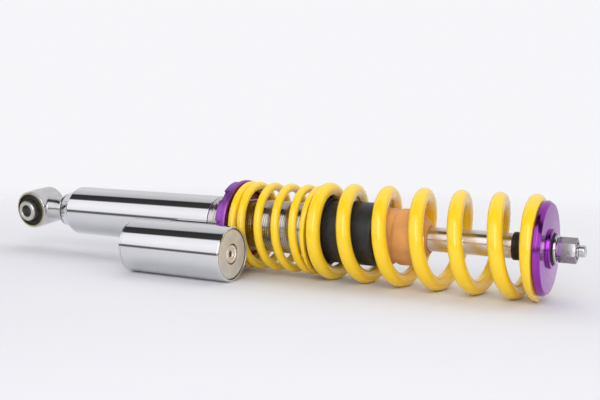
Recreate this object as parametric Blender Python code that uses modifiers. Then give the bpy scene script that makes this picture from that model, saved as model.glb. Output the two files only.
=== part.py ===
"""Coilover damper with a side reservoir, lying on its side as it would on a bench.

Metres, +Z up. +X runs along the damper from the lower eye to the threaded rod end.
Distances called "along" are measured from the axis of the lower eye.
"""
import math

import bmesh
import bpy
from mathutils import Matrix, Vector

# --- driving dimensions -------------------------------------------------------------
GAP = 0.0003                    # running and resting clearance between pieces

MAIN_WIRE = 0.0124               # main spring
MAIN_BORE = 0.0620
MAIN_TURNS = 6.875
MAIN_FRONT_TURN = 0.625         # turns from the wire's end to the front of the damper
MAIN_CLOSED_TURNS = 0.65, 0.5   # nearly closed coils at the lower and the upper end
MAIN_GROUND_TURNS = 0.625, 0.5  # part of those that is ground flat
HELPER_WIRE = 0.0077            # soft helper spring
HELPER_BORE = 0.0656
HELPER_TURNS = 6.125
HELPER_FRONT_TURN = 0.8
HELPER_CLOSED_TURNS = 1.48, 0.85
HELPER_GROUND_TURNS = 0.57, 0.62
RAMP_TURNS = 0.3                # over which the pitch opens up
STEPS_PER_TURN = 16

EYE_RADIUS = 0.0197             # lower eye and its bush
EYE_WIDTH = 0.0320
EYE_BORE_RADIUS = 0.0181
SLEEVE_BORE_RADIUS = 0.0062      # takes an M12 bolt
SLEEVE_LENGTH = 0.046
EYE_ROLL = math.radians(7)      # how far the eye is turned about the damper: its back end is up
NECK_RADIUS = 0.012
FOOT_RADIUS = 0.0168
FOOT_LENGTH = 0.0030
CAP_START = 0.0420

TUBE_RADIUS = 0.0245            # damper body
TUBE_BORE_RADIUS = 0.0218
TUBE_START = 0.0570
THREAD_START = 0.2292
THREAD_RADIUS = 0.0240
TUBE_END = 0.3872
GLAND_LENGTH = 0.0217
GLAND_RING = 0.0028
ROD_RADIUS = 0.0105

LOWER_PERCH_START = 0.2479      # lower spring perch, turned along the thread
LOWER_PERCH_RADIUS = 0.0413
PERCH_COLLAR_RADIUS = 0.0402
PERCH_FLANGE = 0.0036
NOTCH_COUNT = 8
HELPER_SEAT = 0.2592            # planes that the springs' ground ends rest on
HELPER_END = 0.3395
MAIN_SEAT = 0.3412
MAIN_END = 0.5353

DUST_TUBE_RADIUS = 0.0278       # dust tube clipped to the foam bump stop
DUST_TUBE_START = 0.3346
DUST_TUBE_END = 0.3968
BUMP_RADIUS = 0.0245
BUMP_END = 0.4411

ROD_COLLAR_START = 0.5126       # rod end, upper perch and nut
UPPER_PERCH_START = 0.5356
UPPER_PERCH_FACE = 0.5416
UPPER_PERCH_RADIUS = 0.0385
BOSS_HEIGHT = 0.0029
STUD_RADIUS = 0.0070
STUD_BORE_RADIUS = 0.0074
WASHER_LENGTH = 0.0024
NUT_START = 0.5481
NUT_LENGTH = 0.0146
NUT_ACROSS_FLATS = 0.018
NUT_TURN = math.radians(22)     # how far round the rod the nut was tightened
ADJUSTER_END = 0.5693

RESERVOIR_RADIUS = 0.0245       # reservoir, beside the damper and resting on the ground
RESERVOIR_BORE_RADIUS = 0.0222
RESERVOIR_OFFSET = 0.0635
RESERVOIR_START = 0.1742
RESERVOIR_LENGTH = 0.1089
BRIDGE_ALONG = 0.1878
BRIDGE_RADIUS = 0.0070

# --- places that follow from them -----------------------------------------------------
SPRING_RADIUS = MAIN_BORE / 2 + MAIN_WIRE
AXIS_Z = SPRING_RADIUS
AXIS_Y = (RESERVOIR_OFFSET + RESERVOIR_RADIUS - SPRING_RADIUS) / 2
RESERVOIR_Y = AXIS_Y - RESERVOIR_OFFSET
RESERVOIR_Z = RESERVOIR_RADIUS
RESERVOIR_END = RESERVOIR_START + RESERVOIR_LENGTH
BODY_END = TUBE_END + GLAND_RING
BOSS_END = UPPER_PERCH_FACE + BOSS_HEIGHT
NUT_END = NUT_START + NUT_LENGTH
EYE_X = -(ADJUSTER_END - EYE_RADIUS) / 2

LARGE, MEDIUM, SMALL = 32, 20, 12    # sides of turned pieces


# --- scene and helpers ----------------------------------------------------------------
for leftover in list(bpy.data.objects):
    bpy.data.objects.remove(leftover, do_unlink=True)

PARTS = bpy.data.collections.new("coilover")
CUTTERS = bpy.data.collections.new("cutters")
for group in (PARTS, CUTTERS):
    bpy.context.scene.collection.children.link(group)


def axis_empty(name, location, rotation):
    """An empty whose local Z runs along an axis of the damper."""
    empty = bpy.data.objects.new(name, None)
    empty.location = location
    empty.rotation_euler = rotation
    empty.empty_display_size = 0.03
    PARTS.objects.link(empty)
    return empty


def finish(name, colour, metallic, roughness):
    """A plain Principled material."""
    material = bpy.data.materials.new(name)
    material.use_nodes = True
    shader = material.node_tree.nodes["Principled BSDF"]
    shader.inputs["Base Color"].default_value = (*colour, 1)
    shader.inputs["Metallic"].default_value = metallic
    shader.inputs["Roughness"].default_value = roughness
    material.diffuse_color = (*colour, 1)
    return material


def place(piece, parent, look):
    """Put an object in the model, or among the cutters when it has no look."""
    piece.parent = parent
    if look is None:
        piece.hide_render = True
        piece.display_type = "WIRE"
        CUTTERS.objects.link(piece)
        return piece
    piece.data.materials.append(finish(piece.name, *look))
    PARTS.objects.link(piece)
    return piece


def turned(name, outline, look, parent, sides=LARGE):
    """A turned piece. The outline is (along, radius), from the far end down the outer side."""
    mesh = bpy.data.meshes.new(name)
    points = [(radius, 0, along) for along, radius in outline]
    edges = [(i, i + 1) for i in range(len(points) - 1)]
    if outline[0][1] > 0:
        edges.append((len(points) - 1, 0))
    mesh.from_pydata(points, edges, [])
    piece = place(bpy.data.objects.new(name, mesh), parent, look)
    screw = piece.modifiers.new("turn", "SCREW")
    screw.steps = screw.render_steps = sides
    screw.use_merge_vertices = True
    screw.merge_threshold = 0.00001
    screw.use_smooth_shade = True
    return piece


def ring(start, end, inner, outer, chamfer=0.0):
    """The outline of a plain tube or washer, chamfered on its outer edges."""
    if chamfer == 0:
        return [(end, inner), (end, outer), (start, outer), (start, inner)]
    return [
        (end, inner), (end, outer - chamfer), (end - chamfer, outer),
        (start + chamfer, outer), (start, outer - chamfer), (start, inner),
    ]


def solid_from(name, look, parent, build):
    """A piece whose mesh is made by a bmesh function."""
    mesh = bpy.data.meshes.new(name)
    shape = bmesh.new()
    build(shape)
    shape.to_mesh(mesh)
    shape.free()
    return place(bpy.data.objects.new(name, mesh), parent, look)


def combine(piece, other, operation):
    """Boolean a piece with another object, exactly."""
    boolean = piece.modifiers.new(operation.lower(), "BOOLEAN")
    boolean.object = other
    boolean.operation = operation
    boolean.solver = "EXACT"


DAMPER = axis_empty("damper_axis", (EYE_X, AXIS_Y, AXIS_Z), (0, math.pi / 2, 0))
RESERVOIR = axis_empty("reservoir_axis", (EYE_X, RESERVOIR_Y, RESERVOIR_Z), (0, math.pi / 2, 0))
EYE = axis_empty("eye_axis", (EYE_X, AXIS_Y, AXIS_Z), (EYE_ROLL - math.pi / 2, 0, 0))

# --- looks: colour, metallic, roughness -------------------------------------------------
CHROME = ((0.62, 0.62, 0.63), 1.0, 0.12)
BRUSHED = ((0.50, 0.49, 0.48), 1.0, 0.30)
ZINC = ((0.45, 0.44, 0.45), 1.0, 0.38)
GOLD_ZINC = ((0.50, 0.42, 0.22), 1.0, 0.35)
SATIN_ALLOY = ((0.62, 0.60, 0.56), 1.0, 0.40)
PURPLE = ((0.24, 0.05, 0.36), 1.0, 0.25)
YELLOW = ((0.95, 0.62, 0.01), 0.0, 0.25)
BLACK_PLASTIC = ((0.02, 0.02, 0.022), 0.0, 0.45)
RUBBER = ((0.03, 0.03, 0.03), 0.0, 0.70)
FOAM = ((0.68, 0.36, 0.12), 0.0, 0.80)
BRONZE = ((0.45, 0.28, 0.12), 1.0, 0.40)


# --- lower eye, bush and base -------------------------------------------------------------
def lower_eye():
    """Eye barrel, neck and foot in one forging, bored for the bush."""
    barrel = turned("eye_barrel", [
        (EYE_WIDTH / 2, 0), (EYE_WIDTH / 2, EYE_RADIUS),
        (-EYE_WIDTH / 2, EYE_RADIUS), (-EYE_WIDTH / 2, 0),
    ], None, EYE)
    bore = turned("eye_bore", [
        (EYE_WIDTH, 0), (EYE_WIDTH, EYE_BORE_RADIUS),
        (-EYE_WIDTH, EYE_BORE_RADIUS), (-EYE_WIDTH, 0),
    ], None, EYE)
    foot_end = CAP_START - GAP
    foot_start = CAP_START - FOOT_LENGTH
    fillet = 0.0025
    eye = turned("lower_eye", [
        (foot_end, 0), (foot_end, FOOT_RADIUS - 0.0008), (foot_end - 0.0008, FOOT_RADIUS),
        (foot_start, FOOT_RADIUS), (foot_start, NECK_RADIUS + fillet),
        (foot_start - fillet, NECK_RADIUS), (EYE_BORE_RADIUS * 0.6, NECK_RADIUS),
        (EYE_BORE_RADIUS * 0.6, 0),
    ], ZINC, DAMPER, MEDIUM)
    combine(eye, barrel, "UNION")
    combine(eye, bore, "DIFFERENCE")


def eye_bush():
    """Steel sleeve, rubber and inner sleeve, one inside another."""
    half = EYE_WIDTH / 2
    outer = EYE_BORE_RADIUS - GAP
    wall = 0.0011
    turned("bush_outer_sleeve", ring(-half - 0.0006, half + 0.0006, outer - wall, outer),
           GOLD_ZINC, EYE)
    rubber = outer - wall - GAP
    inner = 0.0106
    waist = rubber - 0.0012
    turned("bush_rubber", [
        (half - 0.0035, inner + GAP), (half - 0.0015, waist), (half - 0.0030, rubber),
        (-half + 0.0030, rubber), (-half + 0.0015, waist), (-half + 0.0035, inner + GAP),
    ], RUBBER, EYE)
    turned("bush_inner_sleeve",
           ring(-SLEEVE_LENGTH / 2, SLEEVE_LENGTH / 2, SLEEVE_BORE_RADIUS, inner, 0.0006),
           BRUSHED, EYE, MEDIUM)


def base_cap():
    """Cap that closes the tube, with the small adjuster hole in its cone."""
    spigot = TUBE_BORE_RADIUS - GAP
    cup_radius, cup_floor, spigot_end = 0.0155, CAP_START + 0.0090, CAP_START + 0.0245
    shoulder = TUBE_START - GAP
    cap = turned("base_cap", [
        (cup_floor, 0), (cup_floor, cup_radius), (spigot_end, cup_radius), (spigot_end, spigot),
        (shoulder, spigot), (shoulder, TUBE_RADIUS - 0.0016), (shoulder - 0.0030, TUBE_RADIUS - 0.0026),
        (CAP_START + 0.0008, FOOT_RADIUS + 0.0006), (CAP_START, FOOT_RADIUS), (CAP_START, 0),
    ], CHROME, DAMPER)
    hole_radius, from_axis, angle = 0.0021, 0.0188, math.radians(64)
    centre = Vector((-math.cos(angle), -math.sin(angle), 0)) * from_axis
    screw_start, screw_end = CAP_START + 0.0085, CAP_START + 0.0125

    def pin(radius, start, end):
        def build(shape):
            bmesh.ops.create_cone(
                shape, cap_ends=True, segments=SMALL, radius1=radius, radius2=radius,
                depth=end - start, matrix=Matrix.Translation((0, 0, (start + end) / 2)))
        return build

    hole = solid_from("adjuster_hole", None, DAMPER, pin(hole_radius, CAP_START - 0.0030, screw_end + GAP))
    hole.location = centre
    combine(cap, hole, "DIFFERENCE")
    screw = solid_from("compression_adjuster", BRUSHED, DAMPER,
                       pin(hole_radius - GAP, screw_start, screw_end))
    screw.location = centre


# --- damper body --------------------------------------------------------------------------
def damper_tube():
    """Smooth tube whose upper half carries the thread, with a relief between them."""
    relief = 0.0020
    turned("damper_tube", [
        (TUBE_END, TUBE_BORE_RADIUS), (TUBE_END, THREAD_RADIUS), (THREAD_START + relief, THREAD_RADIUS),
        (THREAD_START + relief, THREAD_RADIUS - 0.0009), (THREAD_START, THREAD_RADIUS - 0.0009),
        (THREAD_START, TUBE_RADIUS), (TUBE_START + 0.0006, TUBE_RADIUS),
        (TUBE_START, TUBE_RADIUS - 0.0006), (TUBE_START, TUBE_BORE_RADIUS),
    ], CHROME, DAMPER)


def rod_gland():
    """Rod guide with its bush and seal, closed by a screwed ring."""
    start = TUBE_END - GLAND_LENGTH
    bush_end, seal_end = start + 0.0130, start + 0.0200
    bush_bore, seal_bore = 0.0124, 0.0150
    turned("rod_guide", [
        (TUBE_END, seal_bore), (TUBE_END, TUBE_BORE_RADIUS - GAP), (start, TUBE_BORE_RADIUS - GAP),
        (start, bush_bore), (bush_end, bush_bore), (bush_end, seal_bore),
    ], SATIN_ALLOY, DAMPER, MEDIUM)
    turned("guide_bush", ring(start + 0.001, bush_end - GAP, ROD_RADIUS + 0.0002, bush_bore - GAP),
           BRONZE, DAMPER, MEDIUM)
    turned("rod_seal", ring(bush_end + GAP, seal_end, ROD_RADIUS + 0.0002, seal_bore - GAP),
           RUBBER, DAMPER, MEDIUM)
    turned("gland_ring", ring(TUBE_END + GAP, BODY_END, ROD_RADIUS + 0.0005, TUBE_RADIUS - 0.0010),
           BLACK_PLASTIC, DAMPER, MEDIUM)


def reservoir():
    """Reservoir tube with its head, end cap, seals, gas piston and fill plug."""
    wall_inner = RESERVOIR_BORE_RADIUS - GAP
    head_face = RESERVOIR_START + 0.0040
    turned("reservoir_tube", [
        (RESERVOIR_END, RESERVOIR_BORE_RADIUS), (RESERVOIR_END, RESERVOIR_RADIUS - 0.0008),
        (RESERVOIR_END - 0.0008, RESERVOIR_RADIUS), (head_face + GAP, RESERVOIR_RADIUS),
        (head_face + GAP, RESERVOIR_BORE_RADIUS),
    ], CHROME, RESERVOIR)
    groove_depth, groove_width = 0.0018, 0.0026
    head_end = RESERVOIR_START + 0.0270
    head_groove = RESERVOIR_START + 0.0210
    turned("reservoir_head", [
        (head_face + 0.003, 0), (head_face + 0.003, 0.0170), (head_end, 0.0170), (head_end, wall_inner),
        (head_groove + groove_width, wall_inner), (head_groove + groove_width, wall_inner - groove_depth),
        (head_groove, wall_inner - groove_depth), (head_groove, wall_inner),
        (head_face, wall_inner), (head_face, RESERVOIR_RADIUS),
        (RESERVOIR_START + 0.0010, RESERVOIR_RADIUS), (RESERVOIR_START, RESERVOIR_RADIUS - 0.0010),
        (RESERVOIR_START, 0),
    ], CHROME, RESERVOIR)
    cap_start, cap_face = RESERVOIR_END - 0.0150, RESERVOIR_END - 0.0006
    cap_groove = cap_start + 0.0040
    plug_head, plug_stem, plug_seat = 0.0086, 0.0042, cap_face - 0.0040
    turned("reservoir_end_cap", [
        (plug_seat, plug_stem), (plug_seat, plug_head), (cap_face, plug_head),
        (cap_face, wall_inner - 0.0004), (cap_face - 0.0010, wall_inner),
        (cap_groove + groove_width, wall_inner), (cap_groove + groove_width, wall_inner - groove_depth),
        (cap_groove, wall_inner - groove_depth), (cap_groove, wall_inner), (cap_start, wall_inner),
        (cap_start, plug_stem),
    ], SATIN_ALLOY, RESERVOIR)
    for name, groove in (("head_o_ring", head_groove), ("end_cap_o_ring", cap_groove)):
        turned(name, ring(groove + GAP, groove + groove_width - GAP,
                          wall_inner - groove_depth + GAP, wall_inner), RUBBER, RESERVOIR, MEDIUM)
    hex_radius, hex_depth = 0.0030, 0.0028
    plug_face = cap_face - 0.0002
    plug_rim = plug_head - GAP
    turned("fill_plug", [
        (plug_face - hex_depth, 0), (plug_face - hex_depth, hex_radius), (plug_face, hex_radius),
        (plug_face, plug_rim - 0.0012), (plug_face - 0.0012, plug_rim), (plug_seat + GAP, plug_rim),
        (plug_seat + GAP, plug_stem - GAP), (cap_start + 0.002, plug_stem - GAP), (cap_start + 0.002, 0),
    ], BRUSHED, RESERVOIR, MEDIUM)
    piston_start = RESERVOIR_START + 0.0460
    piston_end, piston_groove = piston_start + 0.0160, piston_start + 0.0065
    turned("floating_piston", [
        (piston_start + 0.004, 0), (piston_start + 0.004, 0.0150), (piston_end, 0.0150),
        (piston_end, wall_inner - 0.0001), (piston_groove + groove_width, wall_inner - 0.0001),
        (piston_groove + groove_width, wall_inner - groove_depth),
        (piston_groove, wall_inner - groove_depth), (piston_groove, wall_inner - 0.0001),
        (piston_start, wall_inner - 0.0001), (piston_start, 0),
    ], SATIN_ALLOY, RESERVOIR, MEDIUM)
    turned("floating_piston_seal", ring(piston_groove + GAP, piston_groove + groove_width - GAP,
                                        wall_inner - groove_depth + GAP, wall_inner), RUBBER,
           RESERVOIR, MEDIUM)


def reservoir_bridge():
    """Short welded neck that carries oil from the damper body to the reservoir."""
    across = Vector((0, RESERVOIR_Y - AXIS_Y, RESERVOIR_Z - AXIS_Z))

    def build(shape):
        bmesh.ops.create_cone(shape, cap_ends=True, segments=MEDIUM, radius1=BRIDGE_RADIUS,
                              radius2=BRIDGE_RADIUS, depth=across.length)

    bridge = solid_from("reservoir_bridge", BRUSHED, None, build)
    bridge.location = Vector((EYE_X + BRIDGE_ALONG, AXIS_Y, AXIS_Z)) + across / 2
    bridge.rotation_euler = across.to_track_quat("Z", "X").to_euler()
    reach = 2 * BRIDGE_RADIUS
    for name, radius, parent in (("body_saddle", TUBE_RADIUS, DAMPER),
                                 ("reservoir_saddle", RESERVOIR_RADIUS, RESERVOIR)):
        saddle = turned(name, [
            (BRIDGE_ALONG + reach, 0), (BRIDGE_ALONG + reach, radius + GAP),
            (BRIDGE_ALONG - reach, radius + GAP), (BRIDGE_ALONG - reach, 0),
        ], None, parent)
        combine(bridge, saddle, "DIFFERENCE")


# --- springs and their seats --------------------------------------------------------------
def lower_perch():
    """Threaded perch with a notched collar, and the washer that the helper spring turns on."""
    flange_face = HELPER_SEAT - GAP
    recess_floor = HELPER_SEAT - 0.0016
    collar_end = recess_floor - PERCH_FLANGE
    washer_radius = HELPER_BORE / 2 + 0.0035
    lip_end = HELPER_SEAT + 0.0014
    lip_radius = HELPER_BORE / 2 - 0.0010
    bore = THREAD_RADIUS + 0.0005
    perch = turned("lower_perch", [
        (lip_end, bore), (lip_end, lip_radius - 0.0008), (lip_end - 0.0008, lip_radius),
        (recess_floor, lip_radius), (recess_floor, washer_radius + GAP), (flange_face, washer_radius + GAP),
        (flange_face, LOWER_PERCH_RADIUS - 0.0006), (flange_face - 0.0006, LOWER_PERCH_RADIUS),
        (collar_end + 0.0006, LOWER_PERCH_RADIUS), (collar_end, LOWER_PERCH_RADIUS - 0.0006),
        (collar_end, PERCH_COLLAR_RADIUS), (LOWER_PERCH_START + 0.0006, PERCH_COLLAR_RADIUS),
        (LOWER_PERCH_START, PERCH_COLLAR_RADIUS - 0.0006), (LOWER_PERCH_START, bore),
    ], PURPLE, DAMPER)
    notch_width, notch_depth = 0.0120, 0.0035
    notch_length = collar_end - LOWER_PERCH_START

    def notches(shape):
        for number in range(NOTCH_COUNT):
            angle = math.tau * number / NOTCH_COUNT
            turn = Matrix.Rotation(angle, 4, "Z")
            shift = Matrix.Translation((PERCH_COLLAR_RADIUS, 0, LOWER_PERCH_START))
            size = Matrix.Diagonal((2 * notch_depth, notch_width, 2 * notch_length, 1))
            bmesh.ops.create_cube(shape, size=1, matrix=turn @ shift @ size)

    combine(perch, solid_from("perch_notches", None, DAMPER, notches), "DIFFERENCE")
    turned("slip_ring", ring(recess_floor + GAP, HELPER_SEAT - GAP, lip_radius + GAP, washer_radius),
           BLACK_PLASTIC, DAMPER)


def coil_spring(name, wire, bore, turns, front_turn, closed_turns, ground_turns, start, end):
    """A spring with closed ends that are ground flat where they meet their seats."""
    mean_radius = (bore + wire) / 2
    closed_pitch = wire * 1.02
    first = start + wire / 2 - ground_turns[0] * closed_pitch
    last = end - wire / 2 + ground_turns[1] * closed_pitch
    opens, closes = closed_turns[0], turns - closed_turns[1] - RAMP_TURNS
    open_turns = closes - opens
    extra_pitch = (last - first - closed_pitch * turns) / open_turns

    def ramped(turn):
        if turn <= 0:
            return 0
        return turn * turn / (2 * RAMP_TURNS) if turn < RAMP_TURNS else turn - RAMP_TURNS / 2

    def point(turn):
        opened = ramped(turn - opens) - ramped(turn - closes)
        angle = math.tau * (turn - front_turn) + math.pi / 2
        return (-mean_radius * math.cos(angle), -mean_radius * math.sin(angle),
                first + closed_pitch * turn + extra_pitch * opened)

    curve = bpy.data.curves.new(name, "CURVE")
    curve.dimensions = "3D"
    curve.twist_mode = "Z_UP"
    curve.bevel_depth = wire / 2
    curve.bevel_resolution = 2
    curve.use_fill_caps = True
    count = round(turns * STEPS_PER_TURN) + 1
    spline = curve.splines.new("POLY")
    spline.points.add(count - 1)
    for number in range(count):
        spline.points[number].co = (*point(number / STEPS_PER_TURN), 1)

    guide = place(bpy.data.objects.new(name + "_wire", curve), DAMPER, None)
    bpy.context.view_layer.update()
    evaluated = guide.evaluated_get(bpy.context.evaluated_depsgraph_get())
    mesh = bpy.data.meshes.new_from_object(evaluated)
    mesh.name = name
    shape = bmesh.new()
    shape.from_mesh(mesh)
    bmesh.ops.remove_doubles(shape, verts=shape.verts, dist=0.00001)
    shape.to_mesh(mesh)
    shape.free()
    mesh.shade_smooth()
    mesh.materials.clear()
    bpy.data.objects.remove(guide)
    spring = place(bpy.data.objects.new(name, mesh), DAMPER, YELLOW)

    def grinder(shape):
        reach = 4 * mean_radius
        for plane, side in ((start, -1), (end, 1)):
            middle = Matrix.Translation((0, 0, plane + side * wire))
            bmesh.ops.create_cube(shape, size=1, matrix=middle @ Matrix.Diagonal((reach, reach, 2 * wire, 1)))

    combine(spring, solid_from(name + "_ends", None, DAMPER, grinder), "DIFFERENCE")
    return spring


def springs():
    """Helper spring, the ring between the springs, and the main spring."""
    coil_spring("helper_spring", HELPER_WIRE, HELPER_BORE, HELPER_TURNS, HELPER_FRONT_TURN,
                HELPER_CLOSED_TURNS, HELPER_GROUND_TURNS, HELPER_SEAT, HELPER_END)
    coil_spring("main_spring", MAIN_WIRE, MAIN_BORE, MAIN_TURNS, MAIN_FRONT_TURN,
                MAIN_CLOSED_TURNS, MAIN_GROUND_TURNS, MAIN_SEAT, MAIN_END)
    sleeve_outer, sleeve_inner = MAIN_BORE / 2 - 0.0010, DUST_TUBE_RADIUS + 0.0006
    flange_radius = 0.0372
    reach = 0.0085
    turned("spring_adapter", [
        (MAIN_SEAT + reach, sleeve_inner), (MAIN_SEAT + reach, sleeve_outer),
        (MAIN_SEAT - GAP, sleeve_outer), (MAIN_SEAT - GAP, flange_radius),
        (HELPER_END + GAP, flange_radius), (HELPER_END + GAP, sleeve_outer),
        (HELPER_END - reach, sleeve_outer), (HELPER_END - reach, sleeve_inner),
    ], BLACK_PLASTIC, DAMPER)


# --- bump stop and dust tube ---------------------------------------------------------------
def bump_stop():
    """Foam stop on the rod, with the dust tube clipped under its groove."""
    plate_start = DUST_TUBE_END - 0.0020
    neck = 0.0160
    wall_inner = DUST_TUBE_RADIUS - 0.0013
    turned("dust_tube", [
        (DUST_TUBE_END, neck + GAP), (DUST_TUBE_END, DUST_TUBE_RADIUS - 0.0012),
        (DUST_TUBE_END - 0.0012, DUST_TUBE_RADIUS), (DUST_TUBE_START, DUST_TUBE_RADIUS),
        (DUST_TUBE_START, wall_inner), (plate_start, wall_inner), (plate_start, neck + GAP),
    ], BLACK_PLASTIC, DAMPER)
    bore = ROD_RADIUS + 0.0004
    start = BODY_END + GAP
    above = DUST_TUBE_END + GAP
    cone_start = BUMP_END - 0.0100
    turned("bump_stop", [
        (BUMP_END, bore), (BUMP_END, bore + 0.0014), (cone_start, BUMP_RADIUS - 0.0010),
        (cone_start - 0.0015, BUMP_RADIUS), (above + 0.0178, BUMP_RADIUS),
        (above + 0.0148, BUMP_RADIUS - 0.0022), (above + 0.0118, BUMP_RADIUS), (above, BUMP_RADIUS),
        (above, neck), (plate_start - GAP, neck), (plate_start - GAP, neck + 0.0030),
        (start, neck + 0.0022), (start, bore),
    ], FOAM, DAMPER)


# --- piston rod and everything on it ----------------------------------------------------------
def piston_and_rod():
    """Rod bored for the metering rod, with the piston stack on its lower end."""
    shoulder = TUBE_END - GLAND_LENGTH - 0.0070
    piston_end = shoulder - 0.0040
    piston_start = piston_end - 0.0145
    rod_start = piston_start - 0.0125
    stack_radius = 0.0060
    rod_bore = 0.0029
    turned("piston_rod", [
        (NUT_END - 0.0010, rod_bore), (NUT_END - 0.0010, STUD_RADIUS - 0.0008),
        (NUT_END - 0.0018, STUD_RADIUS), (UPPER_PERCH_START - GAP, STUD_RADIUS),
        (UPPER_PERCH_START - GAP, ROD_RADIUS), (shoulder, ROD_RADIUS), (shoulder, stack_radius),
        (rod_start, stack_radius), (rod_start, rod_bore),
    ], BRUSHED, DAMPER, MEDIUM)
    fit = stack_radius + GAP
    face = TUBE_BORE_RADIUS - 0.0006
    band_start, band_end = piston_start + 0.0035, piston_start + 0.0110
    band_floor = TUBE_BORE_RADIUS - 0.0030
    turned("piston", [
        (piston_end, fit), (piston_end, face), (band_end, face), (band_end, band_floor),
        (band_start, band_floor), (band_start, face), (piston_start, face), (piston_start, fit),
    ], SATIN_ALLOY, DAMPER, MEDIUM)
    turned("piston_band", ring(band_start + GAP, band_end - GAP, band_floor + GAP,
                               TUBE_BORE_RADIUS - 0.0002), BLACK_PLASTIC, DAMPER, MEDIUM)
    step = 0.0010
    turned("rebound_shims", [
        (piston_end + GAP + 3 * step, fit), (piston_end + GAP + 3 * step, 0.0110),
        (piston_end + GAP + 2 * step, 0.0110), (piston_end + GAP + 2 * step, 0.0130),
        (piston_end + GAP + step, 0.0130), (piston_end + GAP + step, 0.0150),
        (piston_end + GAP, 0.0150), (piston_end + GAP, fit),
    ], BRUSHED, DAMPER, SMALL)
    turned("compression_shims", [
        (piston_start - GAP, fit), (piston_start - GAP, 0.0150), (piston_start - GAP - step, 0.0150),
        (piston_start - GAP - step, 0.0130), (piston_start - GAP - 2 * step, 0.0130),
        (piston_start - GAP - 2 * step, 0.0110), (piston_start - GAP - 3 * step, 0.0110),
        (piston_start - GAP - 3 * step, fit),
    ], BRUSHED, DAMPER, SMALL)
    nut_end = piston_start - 2 * GAP - 3 * step
    hex_nut("piston_nut", rod_start + 0.0010, nut_end, 0.0170, fit, 0, BRUSHED)
    turned("top_out_bumper", ring(shoulder + GAP, shoulder + 0.0065, ROD_RADIUS + GAP, 0.0160, 0.0010),
           RUBBER, DAMPER, MEDIUM)
    stem_start = UPPER_PERCH_FACE - GAP
    turned("metering_rod", [
        (stem_start, 0), (stem_start, 0.0019), (rod_start + 0.006, 0.0019), (rod_start + 0.001, 0.0004),
        (rod_start + 0.001, 0),
    ], BRUSHED, DAMPER, SMALL)


def hex_nut(name, start, end, across_flats, bore, turn, look):
    """A plain hexagon nut on the damper axis, turned about it."""
    corner = across_flats / math.sqrt(3)
    middle = (start + end) / 2

    def build(shape):
        bmesh.ops.create_cone(shape, cap_ends=True, segments=6, radius1=corner, radius2=corner,
                              depth=end - start,
                              matrix=Matrix.Translation((0, 0, middle)) @ Matrix.Rotation(turn, 4, "Z"))

    nut = solid_from(name, look, DAMPER, build)
    hole = turned(name + "_bore", [
        (end + 0.01, 0), (end + 0.01, bore), (start - 0.01, bore), (start - 0.01, 0),
    ], None, DAMPER, MEDIUM)
    combine(nut, hole, "DIFFERENCE")


def rod_end():
    """Collar, upper spring perch, its bush, washer, nut and the adjuster in the rod's end."""
    turned("rod_collar", ring(ROD_COLLAR_START, UPPER_PERCH_START - 0.0055, ROD_RADIUS + GAP,
                              ROD_RADIUS + 0.0011, 0.0004), BLACK_PLASTIC, DAMPER, MEDIUM)
    recess_radius, recess_floor = 0.01325, UPPER_PERCH_START + 0.0035
    boss_radius = 0.0162
    spigot_radius, spigot_start = MAIN_BORE / 2 - 0.0010, UPPER_PERCH_START - 0.0050
    turned("upper_perch", [
        (recess_floor, STUD_BORE_RADIUS), (recess_floor, recess_radius), (BOSS_END, recess_radius),
        (BOSS_END, boss_radius - 0.0008), (BOSS_END - 0.0008, boss_radius),
        (UPPER_PERCH_FACE, boss_radius), (UPPER_PERCH_FACE, UPPER_PERCH_RADIUS - 0.0022),
        (UPPER_PERCH_FACE - 0.0029, UPPER_PERCH_RADIUS), (UPPER_PERCH_START, UPPER_PERCH_RADIUS),
        (UPPER_PERCH_START, spigot_radius), (spigot_start, spigot_radius),
        (spigot_start, spigot_radius - 0.0030), (UPPER_PERCH_START, spigot_radius - 0.0045),
        (UPPER_PERCH_START, STUD_BORE_RADIUS),
    ], PURPLE, DAMPER)
    washer_start = NUT_START - GAP - WASHER_LENGTH
    turned("perch_bush", ring(recess_floor + GAP, washer_start - GAP, STUD_BORE_RADIUS,
                              recess_radius - GAP), RUBBER, DAMPER, MEDIUM)
    turned("top_washer", ring(washer_start, NUT_START - GAP, STUD_BORE_RADIUS, 0.0115, 0.0003),
           BRUSHED, DAMPER, MEDIUM)
    hex_nut("top_nut", NUT_START, NUT_END, NUT_ACROSS_FLATS, STUD_RADIUS + GAP, NUT_TURN, ZINC)
    knob_radius, stem_radius = 0.0048, 0.0024
    knob_start = NUT_END + GAP
    hex_radius, hex_depth = 0.0018, 0.0030
    turned("rebound_adjuster", [
        (ADJUSTER_END - hex_depth, 0), (ADJUSTER_END - hex_depth, hex_radius),
        (ADJUSTER_END, hex_radius), (ADJUSTER_END, knob_radius - 0.0006),
        (ADJUSTER_END - 0.0006, knob_radius), (knob_start, knob_radius), (knob_start, stem_radius),
        (UPPER_PERCH_FACE, stem_radius), (UPPER_PERCH_FACE, 0),
    ], BRUSHED, DAMPER, MEDIUM)


lower_eye()
eye_bush()
base_cap()
damper_tube()
rod_gland()
reservoir()
reservoir_bridge()
lower_perch()
springs()
bump_stop()
piston_and_rod()
rod_end()
bpy.context.view_layer.update()
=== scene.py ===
"""Looks for the coilover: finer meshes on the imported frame, finishes, floor, light and camera."""
import math

import bmesh
import bpy
from mathutils import Euler, Matrix, Vector


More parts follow.
